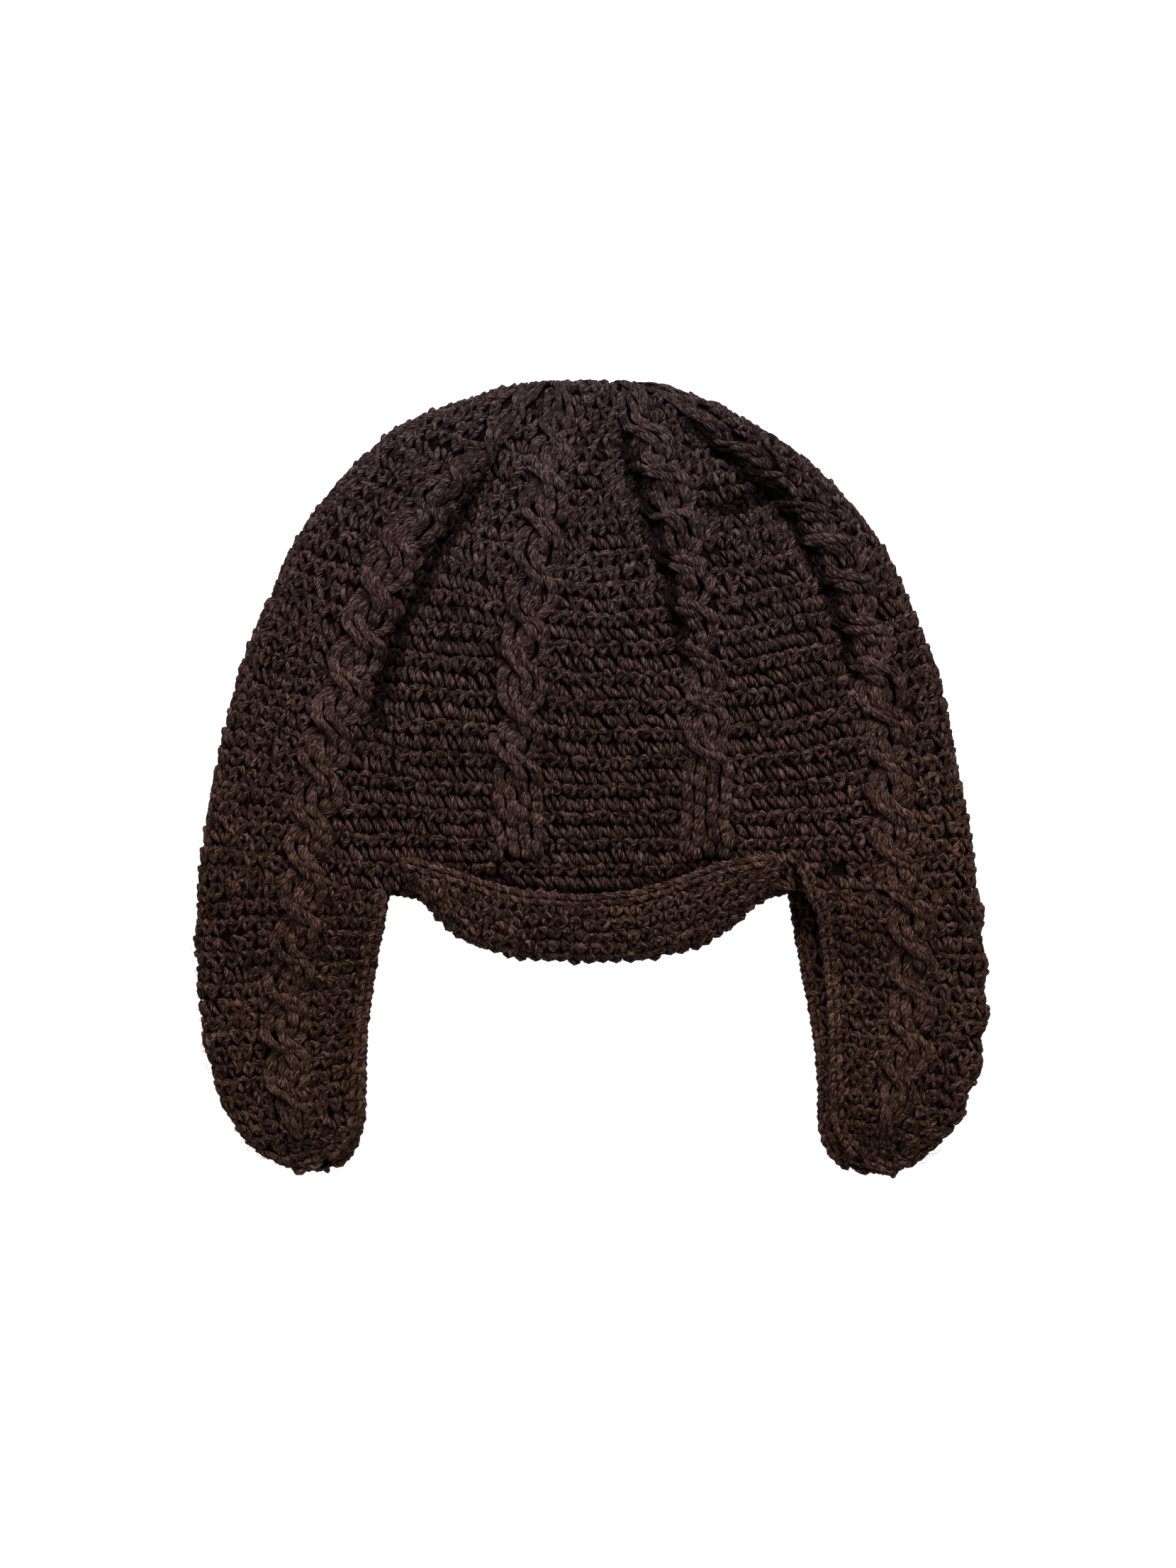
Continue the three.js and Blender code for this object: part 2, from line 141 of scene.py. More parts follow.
# a place on half a ball, tipped back and pressed flat into two layers that round side folds join
def crownPlace(angle, row):
    f = fabricShape
    a = np.radians(angle)
    polar = row * math.pi / 2
    tilt = math.radians(f["tipBack"]) * np.cos(polar) ** 2
    rx, ry, rz = np.sin(polar) * np.cos(a), np.cos(polar), np.sin(polar) * np.sin(a)
    ny = ry * np.cos(tilt) + rz * np.sin(tilt)
    nz = -ry * np.sin(tilt) + rz * np.cos(tilt)
    towards = np.arctan2(ny, rx)
    planX, planY = f["halfWidth"] * np.cos(towards), f["height"] * np.sin(towards)
    flat = np.maximum(np.hypot(planX, planY), 1e-6)
    reach = flat * swellAt(np.degrees(towards))
    share = 1 - np.arccos(np.clip(np.abs(nz), 0, 1)) / (math.pi / 2)
    length = share * (reach + (math.pi / 2 - 1) * f["crownFold"])
    inward, lift = leaveFold(length, f["crownFold"])
    planX, planY = planX / flat * (reach - inward), planY / flat * (reach - inward)
    y = f["rimY"] + planY
    middle = f["backHeight"] + f["crownFold"]
    valleys = foldDepth(planX, y) * smoothStep(length / foldShape["edgeReach"])
    front = middle + lift + riseOfFront(length, y) - valleys
    return np.stack([planX, y, np.where(nz < 0, middle - lift, front)], -1)


# how far along a line each of its points lies
def distancesAlong(points):
    return np.append(0, np.cumsum(np.linalg.norm(np.diff(points, axis=0), axis=1)))


# the places at some distances along a line
def placesAt(distances, far, points):
    return np.stack([np.interp(distances, far, values) for values in points.T], -1)


# even steps along a smooth centripetal curve through a table of plan points
def evenCurve(points, count=400):
    p = np.array(points, float)
    p = np.vstack([2 * p[0] - p[1], p, 2 * p[-1] - p[-2]])
    gaps = np.sqrt(np.linalg.norm(np.diff(p, axis=0), axis=1))
    drawn = []
    for i in range(1, len(p) - 2):
        p0, p1, p2, p3 = p[i - 1:i + 3]
        d0, d1, d2 = gaps[i - 1:i + 2]
        m1 = d1 * ((p1 - p0) / d0 - (p2 - p0) / (d0 + d1) + (p2 - p1) / d1)
        m2 = d1 * ((p2 - p1) / d1 - (p3 - p1) / (d1 + d2) + (p3 - p2) / d2)
        t = np.linspace(0, 1, 60)[:, None]
        span = p1 + m1 * t + (3 * (p2 - p1) - 2 * m1 - m2) * t ** 2
        drawn.append(span + (2 * (p1 - p2) + m1 + m2) * t ** 3)
    drawn = np.vstack(drawn)
    far = distancesAlong(drawn)
    return placesAt(np.linspace(0, far[-1], count), far, drawn)


for outline in flapOutlines.values():
    outline["curves"] = {edge: evenCurve(outline[edge]) for edge in ("fold", "front", "back")}


def alongCurve(curve, share):
    return placesAt(share, np.linspace(0, 1, len(curve)), curve)


# a place on a flap, which hangs from the rim and is bent round its outer edge into two layers
def flapPlace(outline, fromFold, row):
    f = fabricShape
    down = row - 1
    isFront = fromFold >= 0
    curves = outline["curves"]
    start = alongCurve(curves["fold"], down)
    high, apart, first = outline["scallop"]
    wave = np.cos(2 * math.pi * (start[..., 1] - first) / apart)
    start[..., 0] += high * wave * smoothStep(down / f["scallopSettled"])
    front, back = alongCurve(curves["front"], down), alongCurve(curves["back"], down)
    across = np.where(isFront[..., None], front, back) - start
    settle = smoothStep(down / f["settled"])
    pinch = 1 - f["pinch"] * smoothStep((down - f["pinchFrom"]) / (1 - f["pinchFrom"]))
    radius = between(f["crownFold"], f["flapFold"], settle) * pinch
    width = np.linalg.norm(across, axis=-1)
    length = np.abs(fromFold) / f["flapAngle"] * (width + (math.pi / 2 - 1) * radius)
    inward, lift = leaveFold(length, radius)
    at = start + across * (inward / width)[..., None]
    base = between(f["backHeight"], f["flapBackHeight"], settle)
    rise = riseOfFront(length, np.full_like(length, f["rimY"])) * between(1, f["flapRise"], settle)
    curl = f["backCurl"] * smoothStep((np.abs(fromFold) - f["curlFrom"]) / f["curlOver"])
    curl = curl * smoothStep(down / f["curlSettled"])
    z = base + radius + np.where(isFront, lift + rise, curl * pinch - lift)
    return np.stack([outline["side"] * at[..., 0], at[..., 1], z], -1)


# the fabric goes on past the rim where a flap does, and otherwise ends there
def fabric(angle, row):
    f = fabricShape
    angle, row = np.broadcast_arrays(np.asarray(angle, float), np.asarray(row, float))
    turned = np.mod(angle, 360)
    isLeft = (turned > 90) & (turned < 270)
    fromFold = np.where(isLeft, 180 - turned, np.where(turned > 180, turned - 360, turned))
    flapRow = np.clip(row, 1, 2)
    left = flapPlace(flapOutlines["left"], fromFold, flapRow)
    right = flapPlace(flapOutlines["right"], fromFold, flapRow)
    isCrown = (row <= 1) | (np.abs(fromFold) > f["flapReach"])
    crown = crownPlace(angle, np.clip(row, f["firstRow"], f["lastCrownRow"]))
    return np.where(isCrown[..., None], crown, np.where(isLeft[..., None], left, right))


# a surface that stitches are laid on: place(u, v) gives points, v runs down, u runs to the right
# where turn is 1, and skin is how far out the stitches start
class Surface:
    def __init__(self, place, turn, stepU, stepV, skin=0.0):
        self.place, self.turn, self.stepU, self.stepV, self.skin = place, turn, stepU, stepV, skin

    # points, the way out, and the millimetres that one u and one v are worth
    def frameAt(self, u, v):
        right = (self.place(u + self.stepU, v) - self.place(u - self.stepU, v)) * self.turn
        down = self.place(u, v + self.stepV) - self.place(u, v - self.stepV)
        out = unit(np.cross(down, right))
        uLength = np.linalg.norm(right, axis=-1) / 2 / self.stepU
        vLength = np.linalg.norm(down, axis=-1) / 2 / self.stepV
        return self.place(u, v), out, uLength, vLength

    def raised(self, u, v, out):
        point, way, _, _ = self.frameAt(u, v)
        return point + way * out[..., None], way


fabricSurface = Surface(fabric, turn=-1, stepU=0.4, stepV=0.004, skin=-0.5)
innerSurface = Surface(fabric, turn=1, stepU=0.4, stepV=0.004, skin=1.0)     # on the inside


# metres, with the middle of the whole cap over the origin, for foreach_set
def inMetres(points):
    return ((points + np.array([*fabricShape["toMiddle"], 0.0])) / 1000).astype(np.float32).ravel()


# a mesh object from points in millimetres, with face corners, their UV, and a tone at each point,
# which carries painted shade and painted light as well as the yarn's own tone
def makePiece(name, points, faces, uv, tone):
    mesh = bpy.data.meshes.new(name)
    mesh.vertices.add(len(points))
    mesh.vertices.foreach_set("co", inMetres(points))
    corners = np.concatenate([f.ravel() for f in faces])
    sizes = np.concatenate([np.full(len(f), f.shape[1]) for f in faces])
    mesh.loops.add(len(corners))
    mesh.loops.foreach_set("vertex_index", corners.astype(np.int32))
    mesh.polygons.add(len(sizes))
    mesh.polygons.foreach_set("loop_start", np.append(0, np.cumsum(sizes)[:-1]).astype(np.int32))
    mesh.polygons.foreach_set("use_smooth", np.ones(len(sizes), bool))
    mesh.update(calc_edges=True)
    mesh.uv_layers.new(name="UVMap").data.foreach_set("uv", uv.astype(np.float32).ravel())
    mesh.attributes.new("tone", "FLOAT", "POINT").data.foreach_set("value", tone.astype(np.float32))
    piece = bpy.data.objects.new(name, mesh)
    bpy.context.scene.collection.objects.link(piece)
    return piece


restHeight = 0.15                    # yarn is pressed flat on the surface that it lies on


# closed tubes of yarn, gathered to be one mesh: centre lines (strands, rings, 3), radii (strands,
# rings), the way out at each ring, and a tone for each strand, which carries any painted shade and
# light
class YarnPile:
    def __init__(self):
        self.points, self.quads, self.quadUvs, self.tones = [], [], [], []
        self.caps, self.capUvs, self.count = {}, {}, 0

    def add(self, centres, radii, outs, sides, tone):
        strands, rings = radii.shape
        ahead = unit(np.gradient(centres, axis=1))
        side = unit(np.cross(ahead, outs))
        up = np.cross(side, ahead)
        turn = np.arange(sides) / sides * 2 * math.pi
        ring = np.cos(turn)[:, None] * side[:, :, None, :] + np.sin(turn)[:, None] * up[:, :, None, :]
        self.points.append((centres[:, :, None, :] + radii[:, :, None, None] * ring).reshape(-1, 3))
        i = self.count + np.arange(strands * rings * sides).reshape(strands, rings, sides)
        a, b = i[:, :-1], i[:, 1:]
        self.quads.append(np.stack([a, b, np.roll(b, -1, 2), np.roll(a, -1, 2)], -1).reshape(-1, 4))
        steps = np.linalg.norm(np.diff(centres, axis=1, prepend=centres[:, :1]), axis=-1)
        u = np.repeat(np.cumsum(steps, axis=1)[:, :, None], sides, 2)
        v = np.broadcast_to(np.arange(sides) / sides, u.shape)
        ua, ub, va, vb = u[:, :-1], u[:, 1:], v[:, :-1], v[:, :-1] + 1 / sides
        corners = [np.stack(pair, -1) for pair in ((ua, va), (ub, va), (ub, vb), (ua, vb))]
        self.quadUvs.append(np.stack(corners, -2).reshape(-1, 2))
        ends = np.concatenate([i[:, 0], i[:, -1, ::-1]])
        endU = np.concatenate([u[:, 0], u[:, -1]])
        endV = np.concatenate([v[:, 0], v[:, -1, ::-1]])
        self.caps.setdefault(sides, []).append(ends)
        self.capUvs.setdefault(sides, []).append(np.stack([endU, endV], -1).reshape(-1, 2))
        self.tones.append(np.repeat(tone, rings * sides))
        self.count += strands * rings * sides

    def build(self, name):
        points = np.vstack(self.points)
        points[:, 2] = np.maximum(points[:, 2], restHeight)
        faces = [np.vstack(self.quads)] + [np.vstack(ends) for ends in self.caps.values()]
        uv = np.vstack(self.quadUvs + [np.vstack(corners) for corners in self.capUvs.values()])
        print("made", name, "triangles", sum(len(f) * (f.shape[1] - 2) for f in faces))
        return makePiece(name, points, faces, uv, np.concatenate(self.tones))


# each run draws the same random numbers; cables and chains take their seeds from their names
seeds = {"waves": 41, "fibres": 77, "crown": 1000, "flaps": 2000, "insides": 2500, "visor": 3000,
         "strands": 100}
waveShape = {"count": 6, "shortest": 5, "longer": 4, "shift": 9, "calm": 3}


# slow uneven waves over the fabric, from about -1 to 1, so that no row is quite straight
def wander(x, y):
    w = waveShape
    waves = np.random.default_rng(seeds["waves"]).uniform(-1, 1, (w["count"], 3))
    total = 0
    for i, (a, b, c) in enumerate(waves):
        total = total + np.sin((a * x + b * y) / (w["shortest"] + w["longer"] * i) + w["shift"] * c)
    return total / w["calm"]


# A stitch is a few strands, each a list of rings: right in stitch widths, down in rows, height out
# and radius in millimetres. Ridge rows stand up as a rope of slanting strands. Between them lie rows
# of small V's under a bump, with a hole beside each.
stitchShape = {
    "width": 4.7, "crownRows": 44, "flapRows": 20,
    "strayPlace": 0.07, "strayHeight": 0.28, "strayRadius": 0.11, "strayTurn": 0.16,
    "wander": 0.26, "wanderHeight": 0.4, "sidesSeen": 6, "sidesHidden": 4,
    "toneSpread": 0.7, "toneMiddle": -0.3, "toneWander": 0.5, "paintedInsideLight": 2.4,
}
ridgeStrand = [(-0.33, -0.46, 0.2, 0.60), (-0.19, -0.25, 1.45, 0.94), (0.0, 0.0, 1.95, 1.04),
               (0.19, 0.25, 1.45, 0.94), (0.33, 0.46, 0.2, 0.60)]
veeStrand = [(-0.44, -0.57, 0.0, 0.62), (-0.36, -0.26, 0.9, 0.99), (-0.24, 0.02, 1.15, 1.09),
             (-0.12, 0.28, 0.8, 0.93), (-0.03, 0.51, -0.2, 0.58)]
tallStrand = [(-0.42, -0.70, 0.1, 0.62), (-0.34, -0.34, 1.15, 1.02), (-0.22, 0.02, 1.35, 1.12),
              (-0.10, 0.36, 0.95, 0.98), (-0.03, 0.66, -0.1, 0.58)]
bumpStrand = [(-0.40, -0.06, -0.2, 0.60), (-0.25, -0.32, 1.2, 1.03), (0.0, -0.43, 1.75, 1.23),
              (0.25, -0.28, 1.2, 1.03), (0.36, -0.02, -0.2, 0.60)]
kinds = {
    "ridge": [(ridgeStrand, -0.25, 1), (ridgeStrand, 0.25, 1)],
    "bump": [(veeStrand, 0, 1), (veeStrand, 0, -1), (bumpStrand, 0, 1)],
    "tall": [(tallStrand, 0, 1), (tallStrand, 0, -1), (bumpStrand, 0, 0.75)],
}
rowShape = {                         # how rows change over the crown, and where stitches are left out
    "shift": (0.3, 0.7), "outerFrom": 75, "outerOver": 25, "flatter": 0.8, "plain": 0.75,
    "topFrom": 0.62, "topOver": 0.2, "tallInRidges": 0.75, "tallBetween": 0.3, "steepLift": 0.42,
    "foldFacing": -0.15, "cableFacing": 0.45, "insideFrom": 22,
}
smallHole = {"at": (87.5, -29), "radius": 2.3}

cableRows = [0.17, 0.32, 0.44, 0.60, 0.92, 1.84]
cableShape = {
    "halfWidth": 9.5, "mostAngle": 19, "twist": 33, "taperTop": 3, "taperEnd": 4, "taperLeast": 0.35,
    "swing": 4.35, "rise": 1.7, "middle": 2.3, "sharp": 1.5, "columnGap": 4.4, "yarnGap": 1.2,
    "yarnRadius": 0.82, "stitch": 4.87, "length": 8.6, "lean": 1.5, "covered": 0.60, "stray": 0.26,
    "arch": [-2.0, 0.0, 1.0, 1.15, 0.2, -2.0],           # height and thickness along one yarn
    "thick": [0.60, 0.95, 1.08, 1.08, 0.95, 0.60],
    "spread": (0.10, 0.80), "sway": 2, "outerDrop": 0.35, "lengthen": (0.92, 1.12),
    "before": 2.0, "lastStitch": 0.9, "inset": 0.1, "flatHeight": 0.7, "steepLift": 0.35,
    "steepOver": 1.6, "tones": (-0.9, 1.7), "yarnTones": (-0.3, 0.3), "paintedShadeShare": 0.8,
    "sidesSeen": 7, "sidesHidden": 5,
}
cableRuns = {                        # last row, its straight last part, the angle at each of cableRows
    "cable_front_1": (1.84, 0, [62, 42, 29, 22, 21, 26]),
    "cable_front_2": (0.945, 30, [73, 67, 65, 63, 64, 64]),
    "cable_front_3": (0.945, 26, [104, 104, 104, 106, 106, 106]),
    "cable_front_4": (1.84, 0, [114, 126, 137, 145, 152, 156]),
    "cable_back_1": (0.97, 0, [-25] * 6),
    "cable_back_2": (0.97, 0, [-65] * 6),
    "cable_back_3": (0.97, 0, [-112] * 6),
    "cable_back_4": (0.97, 0, [-155] * 6),
}


paintedShadeShape = {
    "dark": 8.0, "from": 3.6, "over": 4.0,
    "visorDark": 7.0, "above": 4.5, "aboveOver": 3, "below": -1, "half": 62, "halfOver": 30,
    "chainDark": 6.0, "chainAt": (73.5, -33), "chainReach": (3.2, 5.5), "chainFade": 1.6,
}


# painted shade: how much darker the yarn is painted, as a tone, deep in a valley of the front, just
# over the visor, and under the start of the right front chain, where shade falls
def paintedCreaseShade(points, way):
    c = paintedShadeShape
    x, y = points[..., 0], points[..., 1]
    valley = c["dark"] * smoothStep((foldDepth(x, y) - c["from"]) / c["over"])
    above = y - along(*zip(*visorShape["upper"]), np.clip(x, *visorShape["ends"]))
    near = np.where(above > c["below"], smoothStep((c["above"] - above) / c["aboveOver"]), 0)
    overVisor = c["visorDark"] * near * smoothStep((c["half"] - np.abs(x)) / c["halfOver"])
    (chainX, chainY), (reachX, reachY) = c["chainAt"], c["chainReach"]
    fromChain = np.hypot((x - chainX) / reachX, (y - chainY) / reachY)
    underChain = c["chainDark"] * smoothStep(c["chainFade"] - fromChain)
    return np.where(way[..., 2] > 0, -np.maximum(np.maximum(valley, overVisor), underChain), 0.0)


# a smooth line through a table, and straight on past its ends
def along(places, heights, x):
    p, h = np.array(places, float), np.array(heights, float)
    low, high = np.maximum(np.arange(len(p)) - 1, 0), np.minimum(np.arange(len(p)) + 1, len(p) - 1)
    slopes = (h[high] - h[low]) / (p[high] - p[low])
    i = np.clip(np.searchsorted(p, x), 1, len(p) - 1)
    span = p[i] - p[i - 1]
    t = (x - p[i - 1]) / span
    s = smoothStep(t)
    return (1 - s) * (h[i - 1] + slopes[i - 1] * span * t) + s * (h[i] + slopes[i] * span * (t - 1))


# the millimetres that one degree is worth
def degreeLengthAt(angle, row):
    return np.linalg.norm(fabric(angle + 1, row) - fabric(angle - 1, row), axis=-1) / 2


# half the width of a cable, which narrows at its top and, where it doesn't end straight, at its end
def cableHalf(angle, row, lastRow, straight):
    c = cableShape
    share = (row - cableRows[0]) / (lastRow - cableRows[0])
    taper = smoothStep(c["taperLeast"] + c["taperTop"] * share)
    if not straight:
        taper = taper * smoothStep(c["taperLeast"] + c["taperEnd"] * (1 - share))
    return np.minimum(c["halfWidth"], c["mostAngle"] * degreeLengthAt(angle, row)) * taper


# where a cable hides the fabric, so that it needs no stitches of its own
def underCable(angle, row):
    covered = np.zeros(angle.shape, bool)
    for lastRow, straight, angles in cableRuns.values():
        middle = along(cableRows, angles, row)
        away = np.abs(np.mod(angle - middle + 180, 360) - 180) * degreeLengthAt(angle, row)
        inRun = (row > cableRows[0]) & (row < lastRow)
        covered |= inRun & (away < cableShape["covered"] * cableHalf(middle, row, lastRow, straight))
    return covered


# the places of one row's stitches, evenly spaced along it between two u
def rowOfStitches(surface, v, start, end, offset):
    fine = np.linspace(start, end, 1500)
    far = distancesAlong(surface.place(fine, np.full_like(fine, v)))
    count = max(4, round(far[-1] / stitchShape["width"]))
    return np.interp((np.arange(count) + offset) / count * far[-1], far, fine)


# painted shade and painted light: the outside is painted darker in its creases, and the inside of a
# flap is painted a little lighter where it lies in shade
def shadeOf(surface, points, way):
    if surface is fabricSurface:
        return paintedCreaseShade(points, way)
    return stitchShape["paintedInsideLight"] if surface is innerSurface else 0.0


# lays the strands of one kind of stitch at each place of a surface; lift flattens the rows
def layStitches(pile, surface, u, v, rowStep, kind, lift, sides, seed):
    s = stitchShape
    rng = np.random.default_rng(seed)
    points, outward, uLength, _ = surface.frameAt(u, v)
    wave = wander(points[:, 0], points[:, 1])
    shade = shadeOf(surface, points, outward)
    for strand, shift, mirror in kinds[kind]:
        rings = strand if sides == s["sidesSeen"] else strand[:2] + strand[3:]
        right, down, height, radius = np.array(rings).T
        strayRight, strayDown = rng.normal(0, s["strayPlace"], (2, len(u)))
        taller = 1 + rng.normal(0, s["strayHeight"], len(u))
        thicker = 1 + rng.normal(0, s["strayRadius"], len(u))
        tilt = rng.normal(0, s["strayTurn"], len(u))[:, None]
        across = (mirror * right + shift + strayRight[:, None] - tilt * down) * s["width"]
        lower = down + tilt * right + strayDown[:, None] + s["wander"] * wave[:, None]
        ringU = u[:, None] + surface.turn * across / uLength[:, None]
        ringV = v[:, None] + lower * rowStep
        out = surface.skin + height * (lift * taller)[:, None] + s["wanderHeight"] * wave[:, None]
        places, way = surface.raised(ringU, ringV, out)
        tone = rng.uniform(-1, 1, len(u)) * s["toneSpread"] + s["toneMiddle"]
        # painted shade in the outside's creases and painted light on a flap's inside join the tone here
        tone = tone + wave * s["toneWander"] + shade
        pile.add(places, radius * thicker[:, None], way, sides, tone)


# stitches over part of the fabric, row by row: ridge rows take turns with plain ones
def layFabric(pile, surface, firstRow, rowStep, rows, start, end, keep, sides, seed):
    r = rowShape
    for k in rows:
        row = firstRow + (k + 0.5) * rowStep
        rng = np.random.default_rng(seed + k)
        u = rowOfStitches(surface, row, start, end, rng.uniform(*r["shift"]))
        v = np.full_like(u, row)
        points, way, _, _ = surface.frameAt(u, v)
        facing = np.abs(way[:, 2])
        kept = keep(points, way, u)
        if surface is fabricSurface:
            kept &= ~(underCable(u, v) & (facing > r["cableFacing"]))
        holeX, holeY = smallHole["at"]
        kept &= np.hypot(points[:, 0] - holeX, points[:, 1] - holeY) > smallHole["radius"]
        if not kept.any():
            continue
        outerPart = np.ones_like(u)
        if firstRow < 1:
            outerPart = smoothStep((np.abs(points[:, 0]) - r["outerFrom"]) / r["outerOver"])
        lift = between(1.0, r["flatter"], outerPart) * between(r["steepLift"], 1.0, facing)
        topPart = smoothStep((r["topFrom"] - v) / r["topOver"])
        chance = rng.uniform(0, 1, len(u))
        isRidgeRow = k % 2 == 1
        ridged = isRidgeRow & (chance > np.maximum(outerPart, topPart) * r["plain"])
        mostTall = r["tallInRidges"] if isRidgeRow else r["tallBetween"]
        tall = ~ridged & (chance < topPart * mostTall)
        for kind, isKind in (("ridge", ridged), ("tall", tall), ("bump", ~ridged & ~tall)):
            chosen = kept & isKind
            if chosen.any():
                layStitches(pile, surface, u[chosen], v[chosen], rowStep, kind, lift[chosen], sides,
                            seed + seeds["strands"] + k)


def makeFabricStitches():
    seen, hidden = stitchShape["sidesSeen"], stitchShape["sidesHidden"]
    folded = rowShape["foldFacing"]
    rows = range(1, stitchShape["crownRows"])
    rowStep = 1 / stitchShape["crownRows"]
    parts = {
        "crown_front_left": (lambda p, way, u: (way[:, 2] >= folded) & (p[:, 0] < 0), seen),
        "crown_front_right": (lambda p, way, u: (way[:, 2] >= folded) & (p[:, 0] >= 0), seen),
        "crown_back": (lambda p, way, u: way[:, 2] < folded, hidden),
    }
    pieces = []
    for name, (keep, sides) in parts.items():
        pile = YarnPile()
        layFabric(pile, fabricSurface, 0, rowStep, rows, 0, 360, keep, sides, seeds["crown"])
        pieces.append((pile.build(name + "_stitches"), ["crown"]))
    rows = range(stitchShape["flapRows"])
    rowStep = 1 / stitchShape["flapRows"]
    for name, middle in flapMiddles.items():
        start, end = middle - fabricShape["flapEdge"], middle + fabricShape["flapEdge"]
        pile = YarnPile()
        for layer, sides in ((1, seen), (-1, hidden)):
            keep = lambda p, way, u, layer=layer: way[:, 2] * layer > folded * layer
            layFabric(pile, fabricSurface, 1, rowStep, rows, start, end, keep, sides,
                      seeds["flaps"] + middle)
        pieces.append((pile.build(f"ear_flap_{name}_stitches"), [f"ear_flap_{name}"]))
        pile = YarnPile()
        nearEdge = lambda p, way, u, middle=middle: np.abs(u - middle) > rowShape["insideFrom"]
        layFabric(pile, innerSurface, 1, rowStep, rows, start, end, nearEdge, hidden,
                  seeds["insides"] + middle)
        pieces.append((pile.build(f"ear_flap_{name}_inside"), [f"ear_flap_{name}"]))
    return pieces


# a cable: two pairs of columns of post stitches that change places over each other; each stitch
# is a few yarns that open in its middle and close at its ends
def makeCable(name):
    c = cableShape
    lastRow, straight, angles = cableRuns[name]
    rows = np.linspace(cableRows[0], lastRow, 400)
    middles = along(cableRows, angles, rows)
    far = distancesAlong(fabric(middles, rows))
    halves = cableHalf(middles, rows, lastRow, straight)
    lengths = degreeLengthAt(middles, rows)

    def place(u, v):
        row = np.interp(v, far, rows)
        return fabric(np.interp(v, far, middles) - u / np.interp(v, far, lengths), row)

    surface = Surface(place, turn=1, stepU=0.5, stepV=0.5)
    sides = c["sidesSeen"] if "front" in name else c["sidesHidden"]
    rng = np.random.default_rng(len(name) * 100 + int(name[-1]))
    pile = YarnPile()
    arch, thick = np.array(c["arch"]), np.array(c["thick"])
    t = np.linspace(0, 1, len(arch))
    middleRing = len(arch) // 2
    spreadStart, spreadLength = c["spread"]
    spread = np.sin(math.pi * (spreadStart + spreadLength * t))
    lastTurn = far[-1] - straight
    phase = -2 * math.pi * lastTurn / c["twist"] if straight else rng.uniform(0, 2 * math.pi)
    for side in (1, -1):
        for column in (-0.5, 0.5):
            first = c["stitch"] * (0.5 if column > 0 else 0) - c["before"]
            start = np.arange(first, far[-1] - c["stitch"] * c["lastStitch"], c["stitch"])
            sway, jitter = rng.normal(0, c["stray"], (2, len(start), 1))
            lengthen = rng.uniform(*c["lengthen"], (len(start), 1))
            tone = rng.uniform(*c["tones"], len(start))
            for yarn in (-1, 0, 1):
                v = start[:, None] + t * c["length"] * lengthen
                v = np.clip(v, c["inset"], far[-1] - c["inset"])
                turn = 2 * math.pi * np.minimum(v, lastTurn) / c["twist"] + phase
                size = np.interp(v, far, halves) / c["halfWidth"]
                swing = np.tanh(c["sharp"] * np.cos(turn)) / math.tanh(c["sharp"])
                fan = yarn * c["yarnGap"] * spread + (t - 0.5) * c["lean"]
                u = side * c["swing"] * swing + column * c["columnGap"] + fan + sway * c["sway"]
                rise = c["middle"] - side * c["rise"] * np.sin(turn) + arch
                rise = rise - c["outerDrop"] * abs(yarn) + jitter
                facing = np.abs(surface.frameAt(u * size, v)[1][..., 2])
                steep = between(c["steepLift"], 1.0, smoothStep(facing * c["steepOver"]))
                out = (rise * size + (1 - size) * c["flatHeight"]) * steep
                places, way = surface.raised(u * size, v, out)
                radius = c["yarnRadius"] * thick * size
                # painted shade: the cable's yarn is painted darker where it lies in a crease
                shade = paintedCreaseShade(places[:, middleRing], way[:, middleRing]) * c["paintedShadeShare"]
                yarnTone = tone + rng.uniform(*c["yarnTones"], len(start)) + shade
                pile.add(places, radius, way, sides, yarnTone)
    return pile.build(name + "_stitches"), [name]


visorShape = {
    "upper": [(-67, -27), (-50, -31.6), (-33, -37.4), (-15, -40.2), (8, -40.2), (25, -37), (39, -32),
              (52, -28.4), (66, -26.5)],
    "lower": [(-67, -35), (-62, -39.5), (-57, -44.5), (-52, -50), (-46, -55), (-34, -60), (-12, -63.4),
              (8, -63.4), (33, -60), (44, -55), (52, -50), (57, -44.5), (61, -41.5), (66, -37)],
    "ends": (-66, 65), "swell": 5.2, "depth": 8.5, "fade": 75, "atEnds": 0.35, "seamGap": 0.35,
    "rootDepths": (4, 0.4), "lowerEdge": 0.45,
    "overside": [(0, 0.45, 0.7), (0.12, 0.8, 0.7), (0.4, 1.0, 0.7), (0.72, 0.7, 0), (0.93, -0.1, 0)],
    "underside": [(0.9, 1.0, 0.5), (0.6, 0.8, 0.3)],
    "rimTurn": 86, "rimRows": (0.93, 0.96, 0.99), "tableX": (-70, 69, 279), "tableV": (-45, 25, 141),
    "sinks": 0.7, "skin": -1.7, "rowHeight": 4.7, "rowsUp": 7, "rowsUnder": 3, "rowShift": 0.3,
    "overEdge": 0.6, "edgeLift": 0.5, "edgeAt": -1, "edgeOver": 6,
    "chainBelow": 1.2, "chainSwell": 0.5, "chainRaised": 0.9, "inset": 1.2, "rings": 60, "around": 60,
}


# the height of the rim's front face, which the visor is rolled up over
def rimFace(x):
    angle = 90 - x / fabricShape["halfWidth"] * visorShape["rimTurn"]
    heights = [fabric(angle, np.full_like(angle, row))[:, 2] for row in visorShape["rimRows"]]
    return np.max(heights, axis=0) + fabricShape["wall"] / 2


# how full the visor is, from 1 in the middle to less at its ends
def fullness(x):
    m = visorShape
    return between(m["atEnds"], 1.0, smoothStep(1 - np.abs(x) / m["fade"]) ** 0.5)


